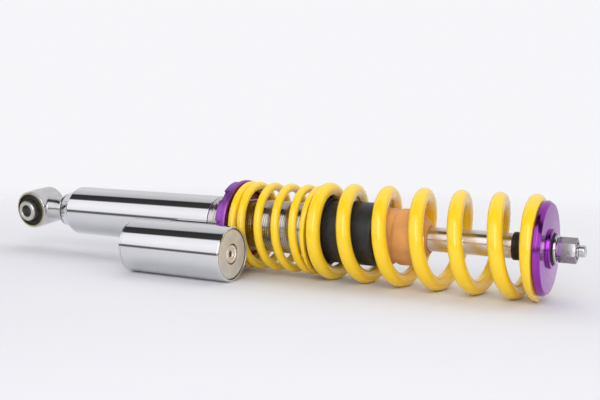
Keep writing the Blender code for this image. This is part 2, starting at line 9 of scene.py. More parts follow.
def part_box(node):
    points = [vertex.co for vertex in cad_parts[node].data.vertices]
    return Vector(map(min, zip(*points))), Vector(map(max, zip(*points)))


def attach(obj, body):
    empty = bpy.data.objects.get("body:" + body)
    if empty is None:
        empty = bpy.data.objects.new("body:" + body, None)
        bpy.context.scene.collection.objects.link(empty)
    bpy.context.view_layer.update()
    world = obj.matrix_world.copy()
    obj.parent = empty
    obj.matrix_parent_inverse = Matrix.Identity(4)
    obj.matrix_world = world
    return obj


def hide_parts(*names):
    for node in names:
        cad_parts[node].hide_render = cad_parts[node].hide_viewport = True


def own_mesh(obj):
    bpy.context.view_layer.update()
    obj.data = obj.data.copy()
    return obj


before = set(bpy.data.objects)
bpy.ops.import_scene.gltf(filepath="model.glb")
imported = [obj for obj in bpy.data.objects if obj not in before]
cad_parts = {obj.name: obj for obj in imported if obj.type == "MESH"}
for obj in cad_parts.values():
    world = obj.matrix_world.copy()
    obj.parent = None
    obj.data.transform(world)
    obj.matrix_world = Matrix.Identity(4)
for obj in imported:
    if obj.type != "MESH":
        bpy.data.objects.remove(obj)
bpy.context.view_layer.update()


# --- where the CAD pieces are -----------------------------------------------------------
def span(node):
    """First and last X of a CAD node."""
    low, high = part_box(node)
    return low.x, high.x


def centre(node):
    low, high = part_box(node)
    return (low + high) / 2


def radius(node):
    """Half of a round node's width."""
    low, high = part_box(node)
    return (high.y - low.y) / 2


EYE_X, AXIS_Y, AXIS_Z = centre("bush_inner_sleeve")
EYE_ROLL = math.radians(7)       # about the damper: the eye's back end is up
EYE_HALF = 0.0160                # half widths of the forging and of its sleeves
OUTER_SLEEVE_HALF = 0.0166
INNER_SLEEVE_HALF = 0.0230
SLEEVE_BORE = 0.0062
EYE_VOXEL = 0.0007
FOOT_RADIUS = 0.0168
STUD_RADIUS = 0.0070
STUD_HOLE = 0.0074
BOSS_HEIGHT = 0.0029
NUT_ACROSS_FLATS = 0.018
RESERVOIR_Y, RESERVOIR_Z = centre("reservoir_tube").yz
DAMPER_AXIS = (AXIS_Y, AXIS_Z)
RESERVOIR_AXIS = (RESERVOIR_Y, RESERVOIR_Z)
GAP = 0.0003
ROD_RADIUS = radius("rod_collar") - 0.0011


# --- node helpers for the finishes --------------------------------------------------------
class Finish:
    """A Principled material with helpers for procedural detail. Coordinates are the object's, in metres."""

    def __init__(self, name, colour, metallic, roughness, **constants):
        self.material = bpy.data.materials.new(name)
        self.material.use_nodes = True
        self.tree = self.material.node_tree
        self.shader = self.tree.nodes["Principled BSDF"]
        self.colour = colour
        self.roughness = roughness
        self.shader.inputs["Base Color"].default_value = (*colour, 1)
        self.shader.inputs["Metallic"].default_value = metallic
        self.shader.inputs["Roughness"].default_value = roughness
        for socket, value in constants.items():
            self.shader.inputs[socket.replace("_", " ")].default_value = value
        self.place = self.node("ShaderNodeTexCoord").outputs["Object"]
        self.height = None

    def node(self, kind, **settings):
        made = self.tree.nodes.new(kind)
        for key, value in settings.items():
            setattr(made, key, value)
        return made

    def link(self, source, target):
        self.tree.links.new(source, target)

    def math(self, operation, first, second=0.0, third=0.0):
        made = self.node("ShaderNodeMath", operation=operation)
        for socket, value in zip(made.inputs, (first, second, third)):
            if isinstance(value, (int, float)):
                socket.default_value = value
            else:
                self.link(value, socket)
        return made.outputs[0]

    def noise(self, scale, detail=3.0, vector=None, stretch=None):
        vector = vector or self.place
        if stretch:
            mapping = self.node("ShaderNodeMapping")
            mapping.inputs["Scale"].default_value = stretch
            self.link(vector, mapping.inputs["Vector"])
            vector = mapping.outputs[0]
        made = self.node("ShaderNodeTexNoise")
        made.inputs["Scale"].default_value = scale
        made.inputs["Detail"].default_value = detail
        self.link(vector, made.inputs["Vector"])
        return made.outputs[0]

    def turned(self, axis):
        """Coordinates that change only along the damper and outwards from an axis, as lathe marks do."""
        split = self.node("ShaderNodeSeparateXYZ")
        self.link(self.place, split.inputs[0])
        y = self.math("SUBTRACT", split.outputs["Y"], axis[0])
        z = self.math("SUBTRACT", split.outputs["Z"], axis[1])
        out = self.math("SQRT", self.math("ADD", self.math("MULTIPLY", y, y), self.math("MULTIPLY", z, z)))
        join = self.node("ShaderNodeCombineXYZ")
        self.link(split.outputs["X"], join.inputs[0])
        self.link(out, join.inputs[1])
        return join.outputs[0]

    def remap(self, value, low, high, start=0.3, end=0.7):
        made = self.node("ShaderNodeMapRange")
        self.link(value, made.inputs["Value"])
        made.inputs["From Min"].default_value = start
        made.inputs["From Max"].default_value = end
        made.inputs["To Min"].default_value = low
        made.inputs["To Max"].default_value = high
        return made.outputs[0]

    def mixed(self, factor, first, second):
        made = self.node("ShaderNodeMix", data_type="RGBA")
        self.link(factor, made.inputs["Factor"])
        for socket, value in ((made.inputs[6], first), (made.inputs[7], second)):
            if isinstance(value, tuple):
                socket.default_value = (*value, 1)
            else:
                self.link(value, socket)
        return made.outputs[2]

    def tint(self, value, amount, shift=(1.0, 1.0, 1.0), start=0.35, end=0.65):
        """Colour varies from darker to lighter with a texture; shift colours the light end."""
        dark = tuple(c * (1 - amount) for c in self.colour)
        light = tuple(min(1.0, c * (1 + amount) * s) for c, s in zip(self.colour, shift))
        shade = self.mixed(self.remap(value, 0, 1, start, end), dark, light)
        self.link(shade, self.shader.inputs["Base Color"])
        return self

    def uneven(self, value, spread):
        """Roughness varies around its mean with a texture."""
        self.link(self.remap(value, max(0.01, self.roughness - spread), self.roughness + spread),
                  self.shader.inputs["Roughness"])
        return self

    def bump(self, value, distance, strength=1.0):
        made = self.node("ShaderNodeBump")
        made.inputs["Strength"].default_value = strength
        made.inputs["Distance"].default_value = distance
        self.link(value, made.inputs["Height"])
        if self.height is not None:
            self.link(self.height, made.inputs["Normal"])
        self.height = made.outputs[0]
        self.link(self.height, self.shader.inputs["Normal"])
        return self


def chrome(name, axis, colour=(0.755, 0.755, 0.77), roughness=0.045):
    """Polished tube: faint waviness, hairline polishing marks and a few cloudy patches."""
    made = Finish(name, colour, 1.0, roughness)
    made.uneven(made.noise(45, 5), 0.028)
    made.tint(made.noise(14, 3), 0.015)
    made.bump(made.noise(16, 2, stretch=(0.5, 1, 1)), 0.00012, 0.25)
    made.bump(made.noise(2600, 2, vector=made.turned(axis)), 0.0000012, 0.4)
    return made.material


def machined(name, colour, roughness, axis, marks=1500, depth=0.000010, spread=0.07, metallic=1.0,
             tint=0.05, brushed=0.0):
    """Lathe-turned metal: fine rings round the axis, uneven sheen and a little handling grime."""
    made = Finish(name, colour, metallic, roughness)
    rings = made.noise(marks, 3, vector=made.turned(axis))
    made.tint(made.noise(120, 5), tint, (1.02, 1.0, 0.98))
    made.uneven(made.noise(230, 4), spread)
    made.bump(rings, depth, 0.5)
    made.bump(made.noise(2200, 2), depth * 0.5, 0.3)
    if brushed:
        tangent = made.node("ShaderNodeTangent", direction_type="RADIAL", axis="X")
        made.link(tangent.outputs[0], made.shader.inputs["Tangent"])
        made.shader.inputs["Anisotropic"].default_value = brushed
        made.shader.inputs["Anisotropic Rotation"].default_value = 0.25
    return made.material


def forged(name, colour, roughness):
    """Forged and lightly blasted metal."""
    made = Finish(name, colour, 1.0, roughness)
    made.tint(made.noise(90, 6), 0.07, (1.02, 1.0, 0.97))
    made.uneven(made.noise(160, 5), 0.07)
    made.bump(made.noise(420, 4), 0.00003, 0.20)
    made.bump(made.noise(60, 3), 0.00015, 0.15)
    return made.material


def anodised(name, colour, roughness, axis, tint=0.10, marks=1700, coat=0.2):
    """Dyed anodised aluminium: turning rings under a thin clear oxide film."""
    made = Finish(name, colour, 1.0, roughness, Coat_Weight=coat, Coat_Roughness=0.12, Coat_IOR=1.5)
    made.tint(made.noise(marks, 2, vector=made.turned(axis)), tint, (1.08, 1.0, 1.05))
    made.uneven(made.noise(180, 4), 0.05)
    made.bump(made.noise(marks, 3, vector=made.turned(axis)), 0.000009, 0.5)
    made.bump(made.noise(3200, 2), 0.000004, 0.4)
    return made.material


def powder_coat(name, colour):
    """Thick gloss powder coat: slight orange peel, deeper colour where it pools, dust specks."""
    made = Finish(name, colour, 0.0, 0.20, Coat_Weight=0.45, Coat_Roughness=0.10, Coat_IOR=1.5,
                  Specular_IOR_Level=0.45)
    made.tint(made.noise(40, 4), 0.008, (1.0, 1.01, 1.1))
    made.uneven(made.noise(240, 4), 0.03)
    made.bump(made.noise(620, 2), 0.00002, 0.12)
    return made.material


def moulded(name, colour, roughness, grain=1400, depth=0.00003):
    """Moulded plastic with a fine spark-eroded grain."""
    made = Finish(name, colour, 0.0, roughness, Specular_IOR_Level=0.45)
    made.tint(made.noise(200, 5), 0.18)
    made.uneven(made.noise(320, 4), 0.07)
    made.bump(made.noise(grain, 4), depth, 0.35)
    return made.material


def rubbery(name, colour=(0.022, 0.021, 0.020), roughness=0.62):
    made = Finish(name, colour, 0.0, roughness, Specular_IOR_Level=0.35)
    made.tint(made.noise(170, 5), 0.35, (1.1, 1.05, 1.0))
    made.uneven(made.noise(260, 4), 0.10)
    made.bump(made.noise(900, 4), 0.00004, 0.4)
    return made.material


def foam(name):
    """Tan microcellular foam with a moulded skin full of tiny pores."""
    made = Finish(name, (0.66, 0.33, 0.105), 0.0, 0.72, Specular_IOR_Level=0.25,
                  Sheen_Weight=0.25, Sheen_Roughness=0.5)
    made.tint(made.noise(48, 6), 0.13, (1.03, 1.04, 1.06))
    made.uneven(made.noise(300, 4), 0.08)
    cells = made.node("ShaderNodeTexVoronoi")
    cells.inputs["Scale"].default_value = 900
    made.link(made.place, cells.inputs["Vector"])
    made.bump(cells.outputs["Distance"], 0.00008, 0.35)
    made.bump(made.noise(150, 4), 0.00012, 0.3)
    return made.material


YELLOW_COAT = powder_coat("yellow_powder_coat", (1.0, 0.655, 0.014))
CHROME_BODY = chrome("chrome_body", DAMPER_AXIS)
CHROME_RESERVOIR = chrome("chrome_reservoir", RESERVOIR_AXIS)
THREAD_STEEL = machined("thread_steel", (0.62, 0.595, 0.575), 0.17, DAMPER_AXIS, marks=900,
                        depth=0.000001, tint=0.04)
PURPLE_DISC = anodised("purple_disc", (0.34, 0.055, 0.44), 0.17, DAMPER_AXIS, coat=0.1)
PURPLE_PERCH = anodised("purple_perch", (0.34, 0.10, 0.48), 0.40, DAMPER_AXIS, tint=0.06, marks=900)
SATIN_CAP = machined("satin_cap", (0.68, 0.67, 0.655), 0.50, RESERVOIR_AXIS, marks=2300,
                     depth=0.000010, metallic=0.35)
ROD_STEEL = machined("rod_steel", (0.74, 0.72, 0.70), 0.24, DAMPER_AXIS, marks=900, depth=0.0000002,
                     spread=0.03, brushed=0.85)
NUT_ZINC = machined("nut_zinc", (0.33, 0.31, 0.33), 0.25, DAMPER_AXIS, marks=900, depth=0.000008)
BRIGHT_STEEL = machined("bright_steel", (0.66, 0.66, 0.67), 0.17, DAMPER_AXIS, marks=2200, depth=0.000006)
PLUG_STEEL = machined("plug_steel", (0.92, 0.88, 0.86), 0.30, RESERVOIR_AXIS, marks=2600,
                      depth=0.000008, metallic=0.6)
INNER_STEEL = machined("inner_steel", (0.55, 0.54, 0.53), 0.32, DAMPER_AXIS)
INNER_ALLOY = machined("inner_alloy", (0.62, 0.60, 0.57), 0.36, DAMPER_AXIS)
GAS_ALLOY = machined("gas_alloy", (0.62, 0.60, 0.57), 0.36, RESERVOIR_AXIS)
BRONZE = machined("bronze", (0.47, 0.31, 0.14), 0.38, DAMPER_AXIS, marks=700, tint=0.12)
EYE_ALLOY = forged("eye_alloy", (0.64, 0.635, 0.65), 0.17)
NECK_ALLOY = forged("neck_alloy", (0.60, 0.595, 0.59), 0.30)
SLEEVE_GOLD = forged("sleeve_gold", (0.46, 0.375, 0.19), 0.32)
SLEEVE_STEEL = forged("sleeve_steel", (0.60, 0.60, 0.58), 0.36)
BLACK_SATIN = moulded("black_satin", (0.020, 0.020, 0.0225), 0.40)
BLACK_NYLON = moulded("black_nylon", (0.018, 0.017, 0.016), 0.48, grain=900)
BLACK_SLEEVE = rubbery("black_sleeve", (0.017, 0.015, 0.013), 0.5)
RUBBER = rubbery("bush_rubber")
FOAM = foam("tan_foam")

NODE_LOOKS = {
    CHROME_BODY: ["damper_tube", "base_cap"],
    CHROME_RESERVOIR: ["reservoir_tube", "reservoir_head"],
    NECK_ALLOY: ["reservoir_bridge"],
    EYE_ALLOY: ["lower_eye"],
    SLEEVE_GOLD: ["bush_outer_sleeve"],
    SLEEVE_STEEL: ["bush_inner_sleeve"],
    SATIN_CAP: ["reservoir_end_cap"],
    PLUG_STEEL: ["fill_plug"],
    GAS_ALLOY: ["floating_piston"],
    INNER_ALLOY: ["rod_guide", "piston"],
    INNER_STEEL: ["compression_adjuster", "compression_shims", "rebound_shims", "piston_nut", "metering_rod"],
    BRONZE: ["guide_bush"],
    RUBBER: ["bush_rubber", "end_cap_o_ring", "head_o_ring", "floating_piston_seal", "rod_seal",
             "top_out_bumper", "perch_bush"],
    BLACK_SATIN: ["dust_tube"],
    BLACK_NYLON: ["gland_ring", "slip_ring", "spring_adapter", "piston_band"],
    BLACK_SLEEVE: ["rod_collar"],
    YELLOW_COAT: ["main_spring", "helper_spring"],
    FOAM: ["bump_stop"],
    PURPLE_DISC: ["upper_perch"],
    PURPLE_PERCH: ["lower_perch"],
    ROD_STEEL: ["piston_rod"],
    NUT_ZINC: ["top_nut"],
    BRIGHT_STEEL: ["top_washer", "rebound_adjuster"],
}
for look, names in NODE_LOOKS.items():
    for name in names:
        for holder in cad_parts[name].material_slots:
            holder.material = look


# --- mesh helpers ---------------------------------------------------------------------------
def soften(outline, closed):
    """Round the corners of an outline. An entry is (x, r) or (x, r, set-back of the rounding)."""
    points = []
    for number, (x, r, *cut) in enumerate(outline):
        here = Vector((x, r))
        ends = not closed and number in (0, len(outline) - 1)
        if not cut or ends:
            points.append(here)
            continue
        before = Vector(outline[number - 1][:2]) - here
        after = Vector(outline[(number + 1) % len(outline)][:2]) - here
        start = here + before.normalized() * min(cut[0], before.length * 0.45)
        end = here + after.normalized() * min(cut[0], after.length * 0.45)
        for step in (0, 0.2, 0.4, 0.6, 0.8, 1):
            points.append(start * (1 - step) ** 2 + here * 2 * step * (1 - step) + end * step ** 2)
    return points


def revolve(outline, axis, sides, lengthwise="X", shape_radius=None):
    """A mesh turned about a line along X through axis (y, z), or along Y through axis (x, z)."""
    closed = outline[0][1] > 0
    points = soften(outline, closed)
    shape = bmesh.new()
    rings = []
    for along, r in points:
        ring = []
        for side in range(1 if r <= 1e-9 else sides):
            angle = math.tau * side / sides
            reach = shape_radius(along, r, angle) if shape_radius else r
            a, b = axis[0] + reach * math.cos(angle), axis[1] + reach * math.sin(angle)
            ring.append(shape.verts.new((along, a, b) if lengthwise == "X" else (a, along, b)))
        rings.append(ring)
    pairs = list(zip(rings, rings[1:]))
    if closed:
        pairs.append((rings[-1], rings[0]))
    for first, second in pairs:
        for side in range(sides):
            other = (side + 1) % sides
            corners = [first[side % len(first)], first[other % len(first)],
                       second[other % len(second)], second[side % len(second)]]
            corners = list(dict.fromkeys(corners))
            if len(corners) > 2:
                shape.faces.new(corners)
    bmesh.ops.recalc_face_normals(shape, faces=shape.faces)
    return shape


def as_piece(name, shape, look, body, stands_for=None, sharp=32):
    """Turn a bmesh into a named piece that rides on a body."""
    mesh = bpy.data.meshes.new(name)
    shape.to_mesh(mesh)
    shape.free()
    mesh.materials.append(look)
    mesh.shade_smooth()
    mesh.set_sharp_from_angle(angle=math.radians(sharp))
    piece = bpy.data.objects.new(name, mesh)
    bpy.context.scene.collection.objects.link(piece)
    if body:
        dress(piece, body, stands_for)
    return piece


def dress(piece, body, stands_for):
    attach(piece, body)
    if stands_for:
        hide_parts(stands_for)


def hexagon_bar(shape, middle, corner, length, axis=DAMPER_AXIS, turn=0.0):
    """Adds a plain hexagon bar along X."""
    place = Matrix.Translation((middle, *axis)) @ Matrix.Rotation(math.pi / 2, 4, "Y")
    bmesh.ops.create_cone(shape, cap_ends=True, segments=6, radius1=corner, radius2=corner, depth=length,
                          matrix=place @ Matrix.Rotation(turn, 4, "Z"))


def turned(name, outline, look, body, stands_for=None, axis=DAMPER_AXIS, sides=128, **more):
    slot = more.pop("slot", None)
    sharp = more.pop("sharp", 32)
    return as_piece(name, revolve(outline, axis, sides, **more), look, body, stands_for, sharp)


def cutter(shape):
    """A temporary object for a Boolean."""
    mesh = bpy.data.meshes.new("cutter")
    shape.to_mesh(mesh)
    shape.free()
    tool = bpy.data.objects.new("cutter", mesh)
    bpy.context.scene.collection.objects.link(tool)
    return tool


def settle(piece, tools=(), sharp=32):
    """Apply a piece's modifiers and remove the cutters they used."""
    evaluated = piece.evaluated_get(bpy.context.evaluated_depsgraph_get())
    mesh = bpy.data.meshes.new_from_object(evaluated)
    piece.modifiers.clear()
    piece.data = mesh
    mesh.shade_smooth()
    mesh.set_sharp_from_angle(angle=math.radians(sharp))
    for tool in tools:
        bpy.data.objects.remove(tool)


def boolean(piece, tool, operation="DIFFERENCE"):
    made = piece.modifiers.new(operation.lower(), "BOOLEAN")
    made.object = tool
    made.operation = operation
    made.solver = "EXACT"


def rounding(piece, width, segments=2, limit=30):
    made = piece.modifiers.new("rounding", "BEVEL")
    made.width = width
    made.segments = segments
    made.limit_method = "ANGLE"
    made.angle_limit = math.radians(limit)
    made.harden_normals = False


def along(distance):
    """World X of a distance from the lower eye's axis."""
    return EYE_X + distance


# --- lower eye and its bush -------------------------------------------------------------------
def rolled(shape):
    """Turn a shape of the eye about the damper's axis."""
    pivot = Matrix.Translation((0, AXIS_Y, AXIS_Z))
    bmesh.ops.transform(shape, matrix=pivot @ Matrix.Rotation(EYE_ROLL, 4, "X") @ pivot.inverted(),
                        verts=shape.verts)
    return shape


def across(outline, sides=128):
    """Lathe a shape about the eye's axis; the outline starts from the middle of the eye."""
    moved = [(AXIS_Y + point[0], *point[1:]) for point in outline]
    return rolled(revolve(moved, (EYE_X, AXIS_Z), sides, lengthwise="Y"))


def lower_eye():
    barrel_radius = EYE_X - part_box("lower_eye")[0].x
    half = EYE_HALF
    foot_end = span("lower_eye")[1]
    foot_start = foot_end - 0.0027
    bore = radius_of_sleeve() + 0.0001
    piece = as_piece("eye_forging", across([
        (-half, 0), (-half, barrel_radius - 0.0003, 0.0008), (-half * 0.3, barrel_radius, 0.003),
        (half * 0.3, barrel_radius, 0.003), (half, barrel_radius - 0.0003, 0.0008), (half, 0),
    ]), EYE_ALLOY, None)
    neck = cutter(revolve([
        (EYE_X + 0.011, 0), (EYE_X + 0.011, 0.0132), (foot_start - 0.0065, 0.0116, 0.003),
        (foot_start, 0.0128, 0.0015), (foot_start + 0.0015, 0.0132), (foot_start + 0.0015, 0),
    ], DAMPER_AXIS, 96))
    boolean(piece, neck, "UNION")
    remesh = piece.modifiers.new("remesh", "REMESH")
    remesh.mode = "VOXEL"
    remesh.voxel_size = EYE_VOXEL
    blur = piece.modifiers.new("blur", "SMOOTH")
    blur.factor = 0.5
    blur.iterations = 8
    hole = cutter(across([(-0.03, 0), (-0.03, bore), (0.03, bore), (0.03, 0)]))
    boolean(piece, hole)
    settle(piece, (neck, hole), 45)
    dress(piece, "damper_body", "lower_eye")
    joint = foot_end - 0.0009
    turned("eye_foot", [
        (joint, 0.010), (joint, FOOT_RADIUS - 0.0004, 0.0002), (joint - 0.0003, FOOT_RADIUS, 0.0002),
        (foot_start + 0.0004, FOOT_RADIUS, 0.0003), (foot_start, FOOT_RADIUS - 0.0004, 0.0003),
        (foot_start, 0.010),
    ], EYE_ALLOY, "damper_body", slot="lower_eye")
    # A black disc sunk into the end of the foot: painted shade that darkens the gap between the foot and the
    # base cap.
    turned("eye_foot_gap_shade", [
        (foot_end, 0), (foot_end, FOOT_RADIUS - 0.0010), (joint, FOOT_RADIUS - 0.0010), (joint, 0),
    ], BLACK_NYLON, "damper_body", slot="lower_eye")


def radius_of_sleeve():
    low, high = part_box("bush_outer_sleeve")
    return (high.x - low.x) / 2


def eye_bush():
    outer = radius_of_sleeve()
    half = OUTER_SLEEVE_HALF
    wall = 0.0011
    as_piece("eye_outer_sleeve", across([
        (-half, outer - wall, 0.0003), (-half, outer, 0.0004),
        (half, outer, 0.0004), (half, outer - wall, 0.0003),
    ]), SLEEVE_GOLD, "damper_body", "bush_outer_sleeve")
    rubber = outer - wall - 0.0001
    low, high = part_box("bush_inner_sleeve")
    inner = (high.x - low.x) / 2
    as_piece("eye_rubber", across([
        (-half + 0.0030, inner + 0.0001), (-half + 0.0012, inner + 0.0009, 0.0006),
        (-half + 0.0032, (inner + rubber) / 2, 0.0015), (-half + 0.0018, rubber - 0.0009, 0.0006),
        (-half + 0.0026, rubber), (half - 0.0026, rubber), (half - 0.0018, rubber - 0.0009, 0.0006),
        (half - 0.0032, (inner + rubber) / 2, 0.0015), (half - 0.0012, inner + 0.0009, 0.0006),
        (half - 0.0030, inner + 0.0001),
    ]), RUBBER, "damper_body", "bush_rubber")
    bore, end = SLEEVE_BORE, INNER_SLEEVE_HALF
    as_piece("eye_inner_sleeve", across([
        (-end + 0.0006, bore, 0.0002), (-end, bore + 0.0007, 0.0002), (-end, inner - 0.0012, 0.0005),
        (-end + 0.0014, inner, 0.0006), (end - 0.0014, inner, 0.0006), (end, inner - 0.0012, 0.0005),
        (end, bore + 0.0007, 0.0002), (end - 0.0006, bore, 0.0002),
    ]), SLEEVE_STEEL, "inner_sleeve", "bush_inner_sleeve")


def base_cap():
    start, spigot_end = span("base_cap")
    shoulder = span("damper_tube")[0]
    tube = radius("damper_tube")
    cap = turned("base_cone", [
        (start, 0), (start, 0.0160, 0.0003), (start + 0.0008, 0.0174, 0.0004),
        (shoulder - 0.0030, tube - 0.0026, 0.0003), (shoulder - 0.0009, tube - 0.0016, 0.0003),
        (shoulder - 0.0001, tube - 0.0018, 0.0003), (shoulder - 0.0001, 0.010),
        (spigot_end, 0.010), (spigot_end, 0),
    ], CHROME_BODY, None)
    screw = centre("compression_adjuster")
    hole_radius = radius("compression_adjuster") + GAP
    hole = cutter(revolve([
        (start - 0.004, 0), (start - 0.004, hole_radius),
        (screw.x + 0.004, hole_radius), (screw.x + 0.004, 0),
    ], (screw.y, screw.z), 32))
    boolean(cap, hole)
    rounding(cap, 0.0002, 2, 50)
    settle(cap, (hole,))
    dress(cap, "damper_body", "base_cap")
    first, last = span("compression_adjuster")
    slot_depth, slot_width = 0.0008, 0.0006
    head = turned("compression_screw_head", [
        (first, 0), (first, hole_radius - GAP, 0.0003), (last, hole_radius - GAP), (last, 0),
    ], INNER_STEEL, None, None, (screw.y, screw.z), 32)
    cut = bmesh.new()
    bmesh.ops.create_cube(cut, size=1, matrix=Matrix.Translation((first, screw.y, screw.z))
                          @ Matrix.Diagonal((2 * slot_depth, slot_width, 0.01, 1)))
    slit = cutter(cut)
    boolean(head, slit)
    settle(head, (slit,))
    dress(head, "compression_screw", "compression_adjuster")


# --- damper body ----------------------------------------------------------------------------------
THREAD_START = along(0.2292)
THREAD_PITCH = 0.002
THREAD_RADIUS = 0.0240
THREAD_ROOT = THREAD_RADIUS - 0.0007


def thread(name, start, end, root, crest, look, body, pitch=THREAD_PITCH, axis=DAMPER_AXIS, steps=56):
    """A right-hand helical thread as one continuous skin over a core."""
    profile = ((0.0, root), (0.18, crest), (0.70, crest), (0.88, root))
    turns = (end - start) / pitch - 1
    shape = bmesh.new()
    rows = []
    for number in range(int(turns * steps) + 1):
        angle = math.tau * number / steps
        fade = min(1.0, number / steps, (turns * steps - number) / steps)
        row = []
        for share, r in profile:
            reach = root + (r - root) * fade
            y = axis[0] - reach * math.sin(angle)
            z = axis[1] - reach * math.cos(angle)
            row.append(shape.verts.new((start + pitch * (number / steps + share), y, z)))
        rows.append(row)
    for first, second in zip(rows, rows[1:]):
        for k in range(len(profile) - 1):
            shape.faces.new((first[k], first[k + 1], second[k + 1], second[k]))
    for number in range(len(rows) - steps):
        if number + 1 + steps < len(rows):
            shape.faces.new((rows[number][3], rows[number + steps][0],
                             rows[number + 1 + steps][0], rows[number + 1][3]))
    bmesh.ops.recalc_face_normals(shape, faces=shape.faces)
    return as_piece(name, shape, look, body, None, sharp=50)


def damper_tube():
    start, end = span("damper_tube")
    outer = radius("damper_tube")
    bore = outer - 0.0027
    turned("body_smooth", [
        (start, bore), (start, outer - 0.0007, 0.0003), (start + 0.0007, outer, 0.0003),
        (THREAD_START - 0.0006, outer, 0.0003), (THREAD_START, outer - 0.0009, 0.0003),
        (THREAD_START, THREAD_ROOT), (THREAD_START, bore),
    ], CHROME_BODY, "damper_body", "damper_tube", sides=160)
    turned("body_core", [
        (THREAD_START + 0.0001, bore), (THREAD_START + 0.0001, THREAD_ROOT + 0.00005),
        (end - 0.001, THREAD_ROOT + 0.00005, 0.0002), (end, THREAD_ROOT - 0.0002), (end, bore),
    ], THREAD_STEEL, "damper_body", slot="damper_tube")
    thread("body_thread", THREAD_START + 0.0022, end - 0.0012, THREAD_ROOT, THREAD_RADIUS, THREAD_STEEL,
           "damper_body")


def reservoir():
    outer = radius("reservoir_tube")
    start, end = span("reservoir_head")[0], span("reservoir_tube")[1]
    split = span("reservoir_tube")[0]
    turned("reservoir_barrel", [
        (split, outer - 0.0023), (split, outer, 0.0003), (end - 0.0010, outer, 0.0004),
        (end, outer - 0.0010, 0.0003), (end, outer - 0.0021, 0.0003), (end - 0.012, outer - 0.0021),
    ], CHROME_RESERVOIR, "damper_body", "reservoir_tube", RESERVOIR_AXIS, 160)
    turned("reservoir_base", [
        (start, 0), (start, 0.0135, 0.0004), (start + 0.0006, 0.0140, 0.0004),
        (start + 0.0001, 0.0146, 0.0004),
        (start, outer - 0.0028, 0.0016), (start + 0.0020, outer, 0.0016),
        (split - 0.0002, outer, 0.0003), (split - 0.0002, outer - 0.002), (split - 0.0002, 0),
    ], CHROME_RESERVOIR, "damper_body", "reservoir_head", RESERVOIR_AXIS, 160)
    first, last = span("reservoir_end_cap")
    rim = outer - 0.0025
    plug = radius("fill_plug")
    _, face = span("fill_plug")
    seat = face - 0.0040
    turned("reservoir_cap", [
        (seat, 0.001), (seat, plug + 0.0010), (last - 0.0003, plug + 0.0010, 0.0002),
        (last, plug + 0.0013, 0.0002), (last, rim - 0.0016, 0.0003), (last - 0.0009, rim - 0.0003, 0.0004),
        (last - 0.0011, rim, 0.0003), (first, rim), (first, 0.001),
    ], SATIN_CAP, "damper_body", "reservoir_end_cap", RESERVOIR_AXIS, 160)
    turned("reservoir_circlip", [
        (last - 0.0016, rim + 0.0001), (last - 0.0007, rim + 0.0001, 0.0003),
        (last - 0.0007, outer - 0.0022, 0.0003), (last - 0.0016, outer - 0.0022),
    ], BLACK_NYLON, "damper_body", None, RESERVOIR_AXIS, 160, slot="reservoir_end_cap")
    turned("fill_screw_seal", [
        (seat + 0.0002, plug + 0.0001), (face - 0.0008, plug + 0.0001), (face - 0.0008, plug + 0.0009),
        (seat + 0.0002, plug + 0.0009),
    ], BLACK_NYLON, "damper_body", None, RESERVOIR_AXIS, 96, slot="fill_plug")
    # A black disc at the bottom of the plug's hex socket: painted shade that makes the hole read dark.
    turned("fill_screw_socket_shade", [
        (face - 0.0026, 0), (face - 0.0026, 0.0030), (face - 0.0030, 0.0030), (face - 0.0030, 0),
    ], BLACK_NYLON, "damper_body", None, RESERVOIR_AXIS, 48, slot="fill_plug")
    body = turned("fill_screw", [
        (face - 0.0032, 0), (face - 0.0032, 0.0026), (face - 0.0011, 0.0034, 0.0002),
        (face - 0.0008, plug - 0.0026, 0.0004), (face, plug - 0.0021, 0.0003),
        (face, plug - 0.0007, 0.0005), (face - 0.0010, plug, 0.0004), (seat + 0.0002, plug),
        (seat + 0.0002, 0),
    ], PLUG_STEEL, None, None, RESERVOIR_AXIS, 96)
    cut = bmesh.new()
    hexagon_bar(cut, face, 0.0032, 0.006, RESERVOIR_AXIS)
    key = cutter(cut)
    boolean(body, key)
    settle(body, (key,))
    dress(body, "damper_body", "fill_plug")


def reservoir_bridge():
    """Flared neck between the two tubes."""
    x = centre("reservoir_bridge").x
    across = Vector((0, RESERVOIR_Y - AXIS_Y, RESERVOIR_Z - AXIS_Z))
    length = across.length
    inside = radius("damper_tube") - 0.0015
    other = length - radius("reservoir_tube") + 0.0015
    shape = revolve([
        (inside - 0.002, 0), (inside - 0.002, 0.0082), (inside + 0.0025, 0.0078, 0.0010),
        (inside + 0.0045, 0.0070, 0.0014), (other - 0.0045, 0.0070, 0.0014),
        (other - 0.0025, 0.0078, 0.0010), (other + 0.002, 0.0082), (other + 0.002, 0),
    ], (0, 0), 96)
    turn = across.to_track_quat("X", "Z").to_matrix().to_4x4()
    bmesh.ops.transform(shape, matrix=Matrix.Translation((x, AXIS_Y, AXIS_Z)) @ turn, verts=shape.verts)
    as_piece("reservoir_neck", shape, NECK_ALLOY, "damper_body", "reservoir_bridge")


